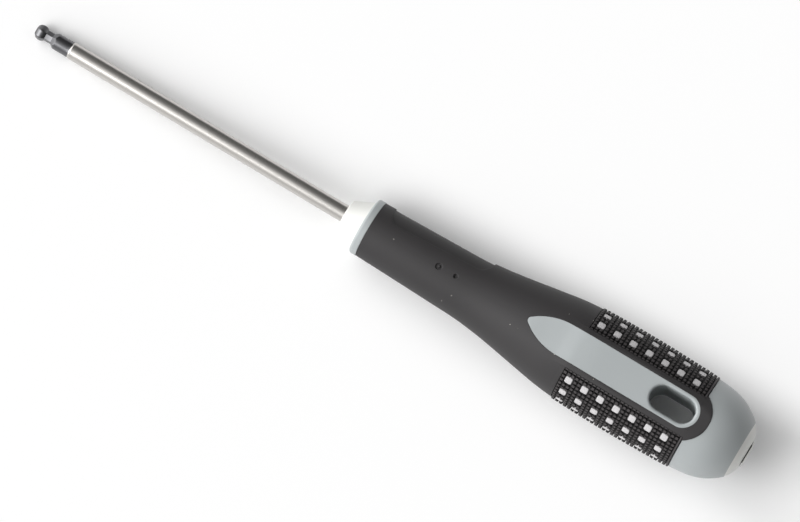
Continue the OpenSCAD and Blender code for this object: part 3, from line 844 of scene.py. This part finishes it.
def core_rear(scene):
    """White cone and domed disc at the butt end, with a ring groove between them."""
    handle = scene.driver_handle
    cone, disc = handle.cone, handle.disc_radius
    rise, end = handle.disc_rise, np.array([cone, handle.crease_radius - 0.15 * MM])
    button, notch, inner = rise + 0.05 * MM, rise + 0.35 * MM, disc - 1.2 * MM
    r = np.linspace(0, 1, 9) * (disc - 0.08 * MM)
    dome = np.stack([0.6 * rise * (r / disc)**2, r], -1)
    rim = [(0.75 * rise, disc - 0.02 * MM), (button, disc), (button, inner), (notch, inner),
           (notch, disc + 0.05 * MM)]
    t = np.linspace(0, 1, 13)[1:, None]
    run = end - (notch, disc)
    side = np.array([-run[1], run[0]]) / np.hypot(*run)
    slope = (notch, disc) + t * run + 4 * t * (1 - t) * handle.cone_bulge * side
    plug, plug_end = end[1] - 0.1 * MM, cone + 8 * MM  # fills the grey butt from inside
    back = [(cone + 0.3 * MM, plug), (plug_end, plug), (plug_end, 0)]
    columns = 192
    points, faces = turned(np.concatenate([dome, rim, slope, back]), columns)
    points = points.reshape(-1, 3)
    first, last = (len(dome) + 1) * columns, (len(dome) + 4) * columns
    # the groove's walls take the third finish, a dark colour painted there as the groove's shade
    return [(points, [faces[:first], faces[last:]], 0), (points, [faces[first:last]], 2)]


def core_front(scene):
    """White spindle in the neck and the nose in front of the ring."""
    handle = scene.driver_handle
    ring_front = handle.sleeve_front + handle.ring
    nose_front = ring_front + handle.nose
    rounded = 0.5 * MM
    turn = np.linspace(0, np.pi / 2, 7)
    arc = np.stack([nose_front - rounded + rounded * np.sin(turn),
                    handle.nose_tip - rounded + rounded * np.cos(turn)], -1)
    hidden_barrel, step = 22 * MM, 4 * MM
    barrel = np.linspace(handle.core_front - hidden_barrel, handle.core_front, 10)
    rear = np.stack([barrel, handle_radius(barrel) - handle.cover - 0.05 * MM], -1)
    return turned(np.concatenate([
        [[barrel[0], 0]], rear,
        [[handle.core_front + step, handle.spindle], [ring_front, handle.spindle],
         [ring_front, handle.nose_base - 0.02 * MM],
         [ring_front + 0.05 * MM, handle.nose_base - 0.04 * MM]],
        arc, [[nose_front, 0]],
    ]))


def studs(scene):
    """All pale studs at once: rounded squares carried outwards, with rounded edges on top."""
    pads = scene.driver_pads
    half, corner, edge = pads.stud / 2, pads.stud_corner, pads.stud_edge
    quarter = np.radians([0, 22.5, 45, 67.5, 90])
    turn = (np.arange(4)[:, None] * np.pi / 2 + quarter[None, :]).ravel()
    centre = np.repeat([[1, 1], [-1, 1], [-1, -1], [1, -1]], len(quarter), 0) * (half - corner)
    square = centre + corner * np.stack([np.cos(turn), np.sin(turn)], -1)
    # levels from the foot, 3.2 mm down, over the rounded edge to the faintly domed top
    inset = np.array([0, 0, 0.3, 1.0, 2.2]) * edge
    drop = np.array([3.2 * MM - pads.stud_drop, edge, 0.3 * edge, 0.0, -0.02 * MM])
    # a stud stands in the middle of every second pair of bumps, both ways
    z = pads.rear + pads.rim + np.arange(3, pads.columns, 4) * pads.pitch
    row_angle = (np.arange(3, pads.rows, 4) - pads.rows / 2) * pads.turn
    angle = np.concatenate([np.pi / 2 + row_angle, -np.pi / 2 + row_angle])
    z, angle = (grid.ravel() for grid in np.meshgrid(z, angle))
    top = handle_radius(z) - pads.stud_drop
    # stud by level by corner
    shrink = 1 - inset / half
    along = z[:, None, None] + shrink[None, :, None] * square[None, None, :, 0]
    aside = shrink[None, :, None] * square[None, None, :, 1] + 0 * along
    out = (top[:, None] - drop[None, :])[:, :, None] + 0 * along
    cos, sin = np.cos(angle)[:, None, None], np.sin(angle)[:, None, None]
    points = lay_down(along, out * cos - aside * sin, out * sin + aside * cos)
    total, levels, corners = points.shape[:3]
    starts = np.arange(total)[:, None, None] * levels * corners
    walls = (starts + quads(levels, corners, closed_columns=True)[None]).reshape(-1, 4)
    ring = np.arange(corners)[None, :]
    caps = np.concatenate([starts[:, 0] + ring, starts[:, 0] + (levels - 1) * corners + ring])
    return points, [walls, caps]


class DRIVER_OT_inner_core(Operator):
    """White plastic core: butt cone, pale studs in the pads, spindle and nose"""
    bl_idname = "driver.inner_core"
    bl_label = "Inner Core"

    def execute(self, context):
        scene = context.scene
        shells = [*core_rear(scene), shell(core_front(scene)), shell(studs(scene), 1)]
        finish = scene.driver_finish
        # the second finish paints the studs darker than the white, as their shade
        add_piece("inner_core_skin", "inner_core", shells,
                  # the third finish is painted shade on the walls of the groove at the butt end
                  [moulded_white(finish), shaded_stud_white(finish), groove_shade(finish)])
        return {"FINISHED"}


# ---------------------------------------------------------------- blade


def blade_places(blade):
    """Heights of the ball's centre, the neck's foot, the shaft's start, the nose and the
    tang's end."""
    ball, tip_round = blade.across_flats / 2, blade.tip_flat / 2
    ball_at = TOOL_LENGTH - np.sqrt(ball**2 - tip_round**2)
    nose_at = TOOL_LENGTH - blade.reach
    return (ball_at, ball_at - blade.neck, TOOL_LENGTH - blade.black_tip, nose_at,
            nose_at - blade.tang)


def tip_flats(blade, ball_at, neck_at, shaft_at):
    """Height and distance from the axis of the six flats, from the tip to the shaft: round
    the ball in a circle, down to the neck, and up a straight slope past the bar's radius."""
    ball, tip_round, neck = blade.across_flats / 2, blade.tip_flat / 2, blade.neck_flats / 2
    swing = np.linspace(np.arccos(tip_round / ball), -np.arccos(neck / ball), 26)
    tip_rows = [(TOOL_LENGTH, 0), (TOOL_LENGTH, 0.5 * tip_round), (TOOL_LENGTH, 0.97 * tip_round)]
    ball_rows = np.stack([ball_at + ball * np.sin(swing), ball * np.cos(swing)], -1)
    # the flats leave the round bar at one slope, all of them past 1.2 slopes
    out = np.linspace(0, 1.2, 30)[1:]
    slope_rows = np.stack([neck_at - out * blade.slope,
                           neck + out * (blade.bar_radius - neck)], -1)
    bar_rows = [(z, 1.2 * blade.bar_radius)
                for z in np.linspace(slope_rows[-1, 0] - 0.3 * MM, shaft_at, 6)]
    return np.concatenate([tip_rows, ball_rows, [(neck_at + 0.15 * MM, neck)], slope_rows,
                           bar_rows])


def black_radius(blade, flats, ball_at, neck_at, turn):
    """Radius of the blackened part: the smaller of the flat at that turn and a round limit,
    its corners rounded. The limit is a slightly larger ball, the neck's corners, the bar."""
    limit_ball, limit_neck = 1.1 * blade.across_flats / 2, 0.6 * blade.neck_flats
    from_ball = np.minimum(np.abs(flats[:, 0] - ball_at), limit_ball)
    limit = np.maximum(np.sqrt(limit_ball**2 - from_ball**2), limit_neck)
    limit = np.where(flats[:, 0] > neck_at, limit, blade.bar_radius)[:, None]
    to_flat = (turn + np.pi / 6) % (np.pi / 3) - np.pi / 6
    flat, corner_edge = flats[:, 1, None], 0.03 * MM
    corner = flat / np.cos(np.pi / 6) - corner_edge
    radius = softer_min(np.minimum(flat / np.cos(to_flat)[None, :], limit), corner, corner_edge)
    radius[0] = 0
    return radius


def shaft_and_tang(blade, shaft_at, nose_at, tang_end, angle):
    """Heights and radii from the shaft's chamfer to the tang's end. The wings are where a
    flat bar's outline reaches past the tang's round."""
    chamfer = 0.4 * MM
    shaft = np.array([
        (shaft_at - 0.25 * chamfer, blade.bar_radius + 0.02 * MM),
        (shaft_at - 0.9 * chamfer, SHAFT_RADIUS - 0.04 * MM),
        (shaft_at - chamfer, SHAFT_RADIUS),
        *((z, SHAFT_RADIUS) for z in np.linspace(shaft_at - 2 * MM, nose_at, 24)),
        (nose_at, blade.tang_radius),
    ])
    wings_at = tang_end + blade.wing_start
    wings_end = wings_at + blade.wing_length
    tang = [(at, blade.tang_radius)
            for at in (wings_end, wings_end, wings_at, wings_at, tang_end + 0.5 * MM)]
    tang += [(tang_end, blade.tang_radius - 0.5 * MM), (tang_end, 0)]
    z, radius = np.concatenate([shaft, tang]).T
    radius = np.repeat(radius[:, None], len(angle), 1)
    wing = np.minimum(blade.wing_span / 2 / np.maximum(np.abs(np.sin(angle)), 1e-6),
                      blade.wing_thickness / 2 / np.maximum(np.abs(np.cos(angle)), 1e-6))
    winged = slice(len(shaft) + 1, len(shaft) + 3)
    radius[winged] = np.maximum(radius[winged], wing[None, :])
    return z, radius


def blade_surface(scene):
    """The blade as a grid of heights by angles, from the tip to the tang's end, and how many
    of its rows are blackened."""
    blade = scene.driver_blade
    ball_at, neck_at, shaft_at, nose_at, tang_end = blade_places(blade)
    turn = np.radians(np.arange(0, 360, 3.0))
    angle = turn + blade.turn
    flats = tip_flats(blade, ball_at, neck_at, shaft_at)
    black = black_radius(blade, flats, ball_at, neck_at, turn)
    heights, bright = shaft_and_tang(blade, shaft_at, nose_at, tang_end, angle)
    z = np.concatenate([flats[:, 0], heights])[:, None]
    return z, angle[None, :], np.concatenate([black, bright]), len(flats)


class DRIVER_OT_blade(Operator):
    """Steel blade: blackened ball with six flats, satin chrome shaft and a winged tang"""
    bl_idname = "driver.blade"
    bl_label = "Blade"

    def execute(self, context):
        scene = context.scene
        z, angle, radius, black_rows = blade_surface(scene)
        points = around(z, radius, angle)
        rows, columns = points.shape[:2]
        faces = quads(rows, columns, closed_columns=True)
        split = (black_rows - 1) * columns
        blackened = points.reshape(-1, 3), [faces[:split]], 1
        chromed = points.reshape(-1, 3), [faces[split:]], 0
        finish = scene.driver_finish
        add_piece("blade_skin", "blade", [chromed, blackened],
                  [satin_chrome(finish), black_oxide(finish)], sharp=28)
        return {"FINISHED"}


# ---------------------------------------------------------------- finishes


def add_node(tree, kind, inputs=None, **settings):
    """Adds a shader node with its settings, and gives its inputs values or links."""
    made = tree.nodes.new(kind)
    for name, value in settings.items():
        setattr(made, name, value)
    for name, value in (inputs or {}).items():
        if isinstance(value, bpy.types.NodeSocket):
            tree.links.new(value, made.inputs[name])
        else:
            made.inputs[name].default_value = value
    return made


def new_finish(name):
    """An empty node material, its tree, and the object coordinates that patterns follow."""
    material = bpy.data.materials.new(name)
    material.use_nodes = True
    tree = material.node_tree
    tree.nodes.clear()
    place = add_node(tree, "ShaderNodeTexCoord").outputs["Object"]
    return material, tree, place


def close_finish(tree, surface):
    """Sends a shader to the material's surface."""
    add_node(tree, "ShaderNodeOutputMaterial", {"Surface": surface.outputs["BSDF"]})


def mottled(tree, place, base, clouds_per_metre, detail, low, high):
    """A colour that varies in soft clouds, from low to high times itself."""
    cloud = add_node(tree, "ShaderNodeTexNoise", {"Vector": place, "Scale": clouds_per_metre,
                                                  "Detail": detail})
    shade = add_node(tree, "ShaderNodeMapRange", {"Value": cloud.outputs["Fac"],
                                                  "To Min": low, "To Max": high})
    tint = add_node(tree, "ShaderNodeVectorMath", {0: base[:3], 1: shade.outputs["Result"]},
                    operation="MULTIPLY")
    return cloud.outputs["Fac"], tint.outputs["Vector"]


def satin_chrome(finish):
    """Satin chrome plate on ground steel: a bright metal whose reflections are drawn out a
    little across the fine rings that grinding left, nine to a millimetre."""
    material, tree, place = new_finish("satin_chrome_plate")
    rings = add_node(tree, "ShaderNodeMapping", {"Vector": place,
                                                 "Scale": (9 / MM, 0.3 / MM, 0.3 / MM)})
    grain = add_node(tree, "ShaderNodeTexNoise", {"Vector": rings.outputs["Vector"], "Scale": 1.0,
                                                  "Detail": 2.0})
    rough = add_node(tree, "ShaderNodeMapRange", {"Value": grain.outputs["Fac"],
                                                  "To Min": 0.24, "To Max": 0.36})
    bump = add_node(tree, "ShaderNodeBump", {"Height": grain.outputs["Fac"], "Strength": 0.05,
                                             "Distance": 0.02 * MM})
    surface = add_node(tree, "ShaderNodeBsdfPrincipled", {
        "Base Color": tuple(finish.chrome), "Metallic": 1.0,
        "Roughness": rough.outputs["Result"], "Normal": bump.outputs["Normal"]})
    close_finish(tree, surface)
    return material


def black_oxide(finish):
    """Black oxide on machined steel: a dark skin with a soft metallic shine, in grains of
    0.4 mm, which is coarser than real so that they show."""
    material, tree, place = new_finish("black_oxide_steel")
    grain = add_node(tree, "ShaderNodeTexNoise", {"Vector": place, "Scale": 2.5 / MM,
                                                  "Detail": 3.0})
    rough = add_node(tree, "ShaderNodeMapRange", {"Value": grain.outputs["Fac"],
                                                  "To Min": 0.26, "To Max": 0.36})
    surface = add_node(tree, "ShaderNodeBsdfPrincipled", {
        "Base Color": tuple(finish.oxide), "Metallic": 1.0,
        "Roughness": rough.outputs["Result"]})
    close_finish(tree, surface)
    return material


def moulded_plastic(name, base, rough_low, rough_high):
    """Injection-moulded polypropylene from a finely eroded mould: satin, with a grain of
    0.25 mm and faint clouds of about 11 mm."""
    material, tree, place = new_finish(name)
    cloud, tint = mottled(tree, place, base, 0.09 / MM, 2.0, 0.96, 1.03)
    grain = add_node(tree, "ShaderNodeTexNoise", {"Vector": place, "Scale": 4 / MM, "Detail": 2.0})
    rough = add_node(tree, "ShaderNodeMapRange", {"Value": cloud, "To Min": rough_low,
                                                  "To Max": rough_high})
    bump = add_node(tree, "ShaderNodeBump", {"Height": grain.outputs["Fac"], "Strength": 0.15,
                                             "Distance": 0.02 * MM})
    surface = add_node(tree, "ShaderNodeBsdfPrincipled", {
        "Base Color": tint, "Roughness": rough.outputs["Result"], "IOR": 1.49,
        "Normal": bump.outputs["Normal"]})
    close_finish(tree, surface)
    return material


def moulded_grey(finish):
    """The grey of tongues, butt and ring: satin, so that its highlights stay broad."""
    return moulded_plastic("grey_polypropylene", tuple(finish.grey), 0.38, 0.5)


def moulded_white(finish):
    """The white of nose and cone: a little smoother than the grey."""
    return moulded_plastic("white_polypropylene", tuple(finish.white), 0.35, 0.45)


def shaded_stud_white(finish):
    """The white of the studs, painted darker than the nose's white as the shade that falls on them
    in their windows, and roughened by hands.
    """
    return moulded_plastic("white_polypropylene_painted_shade", tuple(finish.stud), 0.4, 0.55)


def groove_shade(finish):
    """Painted shade for the walls of the ring groove at the butt end: a dark colour, dull and
    uneven, in lumps of about 0.7 mm.
    """
    material, tree, place = new_finish("painted_groove_shade")
    _, tint = mottled(tree, place, tuple(finish.rubber), 1.5 / MM, 3.0, 0.5, 1.4)
    surface = add_node(tree, "ShaderNodeBsdfPrincipled", {"Base Color": tint, "Roughness": 0.95})
    close_finish(tree, surface)
    return material


def moulded_rubber(name, base):
    """Black thermoplastic rubber: dull, with a grain of about 0.3 mm, soft clouds of about
    17 mm and a few pale specks of dust."""
    material, tree, place = new_finish(name)
    cloud, tint = mottled(tree, place, tuple(base), 0.06 / MM, 3.0, 0.8, 1.2)
    grain = add_node(tree, "ShaderNodeTexNoise", {"Vector": place, "Scale": 3.5 / MM,
                                                  "Detail": 2.0})
    # dust: one speck of about 0.2 mm in some of the 2.4 mm cells, drawn a little coarse to show
    cells = add_node(tree, "ShaderNodeTexVoronoi", {"Vector": place, "Scale": 0.42 / MM})
    speck = add_node(tree, "ShaderNodeMath", {0: cells.outputs["Distance"], 1: 0.05},
                     operation="LESS_THAN")
    chosen = add_node(tree, "ShaderNodeVectorMath", {0: cells.outputs["Color"],
                                                     1: (1, 0, 0)}, operation="DOT_PRODUCT")
    some = add_node(tree, "ShaderNodeMath", {0: chosen.outputs["Value"], 1: 0.55},
                    operation="GREATER_THAN")
    dusty = add_node(tree, "ShaderNodeMath", {0: speck.outputs["Value"],
                                              1: some.outputs["Value"]}, operation="MULTIPLY")
    dusted = add_node(tree, "ShaderNodeMix", {0: dusty.outputs["Value"],
                                              6: tint,
                                              7: linear("#B5AFA8")}, data_type="RGBA")
    rough = add_node(tree, "ShaderNodeMapRange", {"Value": cloud, "To Min": 0.55,
                                                  "To Max": 0.68})
    bump = add_node(tree, "ShaderNodeBump", {"Height": grain.outputs["Fac"], "Strength": 0.3,
                                             "Distance": 0.03 * MM})
    surface = add_node(tree, "ShaderNodeBsdfPrincipled", {
        "Base Color": dusted.outputs[2], "Roughness": rough.outputs["Result"], "IOR": 1.5,
        "Normal": bump.outputs["Normal"]})
    close_finish(tree, surface)
    return material


# ---------------------------------------------------------------- table, light and camera


def white_table(finish):
    """Matt white laminate. Away from the tool, whatever is seen straight or mirrored of it turns
    to plain white, by the distance from the tool's middle line."""
    material, tree, place = new_finish("white_laminate")
    lit = add_node(tree, "ShaderNodeBsdfPrincipled", {
        "Base Color": tuple(finish.floor), "Roughness": 0.9, "Specular IOR Level": 0.1})
    white = add_node(tree, "ShaderNodeEmission", {"Color": (1, 1, 1, 1), "Strength": 1.0})
    # distance from the middle line: as far as the tool is long, only the way across counts,
    # and past its ends a fifth of the way along
    half_width, fade, most = 9 * MM, 16 * MM, 0.8
    beside = add_node(tree, "ShaderNodeVectorMath", {0: place}, operation="ABSOLUTE")
    past_ends = add_node(tree, "ShaderNodeVectorMath", {0: beside.outputs["Vector"],
                                                        1: (TOOL_LENGTH / 2, half_width, 0)},
                         operation="SUBTRACT")
    outside = add_node(tree, "ShaderNodeVectorMath", {0: past_ends.outputs["Vector"],
                                                      1: (0, 0, 0)}, operation="MAXIMUM")
    stretched = add_node(tree, "ShaderNodeVectorMath", {0: outside.outputs["Vector"],
                                                        1: (0.2, 1, 1)}, operation="MULTIPLY")
    distance = add_node(tree, "ShaderNodeVectorMath", {0: stretched.outputs["Vector"]},
                        operation="LENGTH")
    away = add_node(tree, "ShaderNodeMapRange", {"Value": distance.outputs["Value"],
                                                 "From Min": 0.0, "From Max": fade,
                                                 "To Min": 0.0, "To Max": most},
                    interpolation_type="SMOOTHSTEP")
    path = add_node(tree, "ShaderNodeLightPath")
    mirrored = add_node(tree, "ShaderNodeMath", {0: path.outputs["Is Glossy Ray"],
                                                 1: path.outputs["Is Transmission Ray"]},
                        operation="ADD")
    seen = add_node(tree, "ShaderNodeMath", {0: path.outputs["Is Camera Ray"],
                                             1: mirrored.outputs["Value"]},
                    operation="ADD", use_clamp=True)
    share = add_node(tree, "ShaderNodeMath", {0: seen.outputs["Value"],
                                              1: away.outputs["Result"]}, operation="MULTIPLY")
    mixed = add_node(tree, "ShaderNodeMixShader", {0: share.outputs["Value"],
                                                   1: lit.outputs["BSDF"],
                                                   2: white.outputs["Emission"]})
    add_node(tree, "ShaderNodeOutputMaterial", {"Surface": mixed.outputs["Shader"]})
    return material


def add_lamp(name, place, target, size, power):
    """A large square white lamp at place that faces target."""
    lamp = bpy.data.lights.new(name, "AREA")
    lamp.shape = "RECTANGLE"
    lamp.size, lamp.size_y = size
    lamp.energy = power
    made = bpy.data.objects.new(name, lamp)
    made.location = place
    made.rotation_euler = (Vector(target) - Vector(place)).to_track_quat("-Z", "Y").to_euler()
    bpy.context.scene.collection.objects.link(made)


class DRIVER_OT_stage(Operator):
    """Pale table, soft lamps, a dim room with two glows, and the camera"""
    bl_idname = "driver.stage"
    bl_label = "Table, Light and Camera"

    def execute(self, context):
        scene = context.scene
        studio = scene.driver_studio
        scene.view_settings.view_transform = "Standard"
        self.add_table(scene)
        camera = self.add_camera(scene, studio)
        right, up, back = (camera.col[i].to_3d() for i in range(3))
        # seen from above, the tool's tip points to the upper left and its near side lower left
        tipward, near = -0.866 * right + 0.5 * up, -0.5 * right - 0.866 * up
        wall = (0.6 * tipward + 0.7 * near + 0.3 * back).normalized()
        window = (0.94 * tipward + 0.1 * near + 0.3 * back).normalized()
        self.add_world(scene, studio, ((wall, 0.25, 0.6, studio.wall),
                                       (window, 0.45, 0.8, studio.window)))
        self.add_lamps(studio, tipward, near, back)
        return {"FINISHED"}

    def add_table(self, scene):
        """A table top that reaches far past the view."""
        reach = 3.0
        corners = np.array([(-1, -1, 0), (1, -1, 0), (1, 1, 0), (-1, 1, 0)]) * reach
        mesh = bpy.data.meshes.new("table_top")
        mesh.from_pydata(corners.tolist(), [], [(0, 1, 2, 3)])
        mesh.materials.append(white_table(scene.driver_finish))
        table = bpy.data.objects.new("table_top", mesh)
        scene.collection.objects.link(table)

    def add_world(self, scene, studio, glows):
        """A dim room that glows towards some directions: each with where its glow starts and
        where it is full, as cosines, and its brightness."""
        world = bpy.data.worlds.new("pale_room")
        world.use_nodes = True
        tree = world.node_tree
        tree.nodes.clear()
        way = add_node(tree, "ShaderNodeTexCoord").outputs["Generated"]
        level = studio.room
        for toward, start, full, brightness in glows:
            side = add_node(tree, "ShaderNodeVectorMath", {0: way, 1: tuple(toward)},
                            operation="DOT_PRODUCT")
            glow = add_node(tree, "ShaderNodeMapRange", {
                "Value": side.outputs["Value"], "From Min": start, "From Max": full,
                "To Min": 0.0, "To Max": brightness}, interpolation_type="SMOOTHSTEP")
            level = add_node(tree, "ShaderNodeMath", {0: level, 1: glow.outputs["Result"]},
                             operation="ADD").outputs["Value"]
        background = add_node(tree, "ShaderNodeBackground", {
            "Color": (1, 1, 1, 1), "Strength": level})
        add_node(tree, "ShaderNodeOutputWorld", {"Surface": background.outputs["Background"]})
        scene.world = world

    def add_camera(self, scene, studio):
        """The camera at its distance from the target, turned by azimuth, elevation and roll."""
        azimuth, elevation, roll = studio.azimuth, studio.elevation, studio.roll
        back = np.array([-np.sin(azimuth) * np.cos(elevation),
                         -np.cos(azimuth) * np.cos(elevation), np.sin(elevation)])
        right = np.cross(-back, (0, 0, 1))
        right /= np.linalg.norm(right)
        up = np.cross(right, -back)
        turned_right = right * np.cos(roll) + up * np.sin(roll)
        turned_up = -right * np.sin(roll) + up * np.cos(roll)
        place = np.array(studio.target) + back * studio.distance
        lens = bpy.data.cameras.new("camera")
        lens.lens = studio.lens
        lens.sensor_width = 36.0
        lens.clip_start, lens.clip_end = 0.1, 20.0
        camera = bpy.data.objects.new("camera", lens)
        columns = np.column_stack([turned_right, turned_up, back, place])
        matrix = Matrix([*columns.tolist(), (0, 0, 0, 1)])
        camera.matrix_world = matrix
        scene.collection.objects.link(camera)
        scene.camera = camera
        return matrix

    def add_lamps(self, studio, tipward, near, back):
        """The key comes from the tip's near side, the fill from beyond the butt."""
        middle, size = Vector((0, 0, 0)), (0.7, 0.7)
        key_at = 0.70 * tipward + 0.55 * near + 0.75 * back
        fill_at = -0.70 * tipward - 0.50 * near + 1.0 * back
        add_lamp("key_lamp", key_at, middle, size, studio.key)
        add_lamp("fill_lamp", fill_at, middle, size, studio.fill)


# ---------------------------------------------------------------- panel and registration


PIECES = ("driver.blade", "driver.inner_core", "driver.handle_body", "driver.grip_sleeve",
          "driver.stage")


class DRIVER_PT_pieces(Panel):
    """Lists the pieces of the screwdriver and the stage"""
    bl_label = "Hex Screwdriver"
    bl_idname = "DRIVER_PT_pieces"
    bl_space_type = "VIEW_3D"
    bl_region_type = "UI"
    bl_category = "Screwdriver"

    def draw(self, context):
        for piece in PIECES:
            self.layout.operator(piece)


CLASSES = (BladeSizes, HandleSizes, TongueSizes, PadSizes, NeckSizes, FinishColours,
           StudioSettings, DRIVER_OT_blade, DRIVER_OT_inner_core, DRIVER_OT_handle_body,
           DRIVER_OT_grip_sleeve, DRIVER_OT_stage, DRIVER_PT_pieces)
SETTINGS = {"driver_blade": BladeSizes, "driver_handle": HandleSizes,
            "driver_tongue": TongueSizes, "driver_pads": PadSizes, "driver_neck": NeckSizes,
            "driver_finish": FinishColours, "driver_studio": StudioSettings}


def register():
    for cls in CLASSES:
        bpy.utils.register_class(cls)
    for name, group in SETTINGS.items():
        setattr(bpy.types.Scene, name, PointerProperty(type=group))


def unregister():
    for name in SETTINGS:
        delattr(bpy.types.Scene, name)
    for cls in reversed(CLASSES):
        bpy.utils.unregister_class(cls)


def main():
    """Builds every piece and the stage."""
    register()
    bpy.ops.driver.blade()
    bpy.ops.driver.inner_core()
    bpy.ops.driver.handle_body()
    bpy.ops.driver.grip_sleeve()
    bpy.ops.driver.stage()


if __name__ == "__main__":
    main()
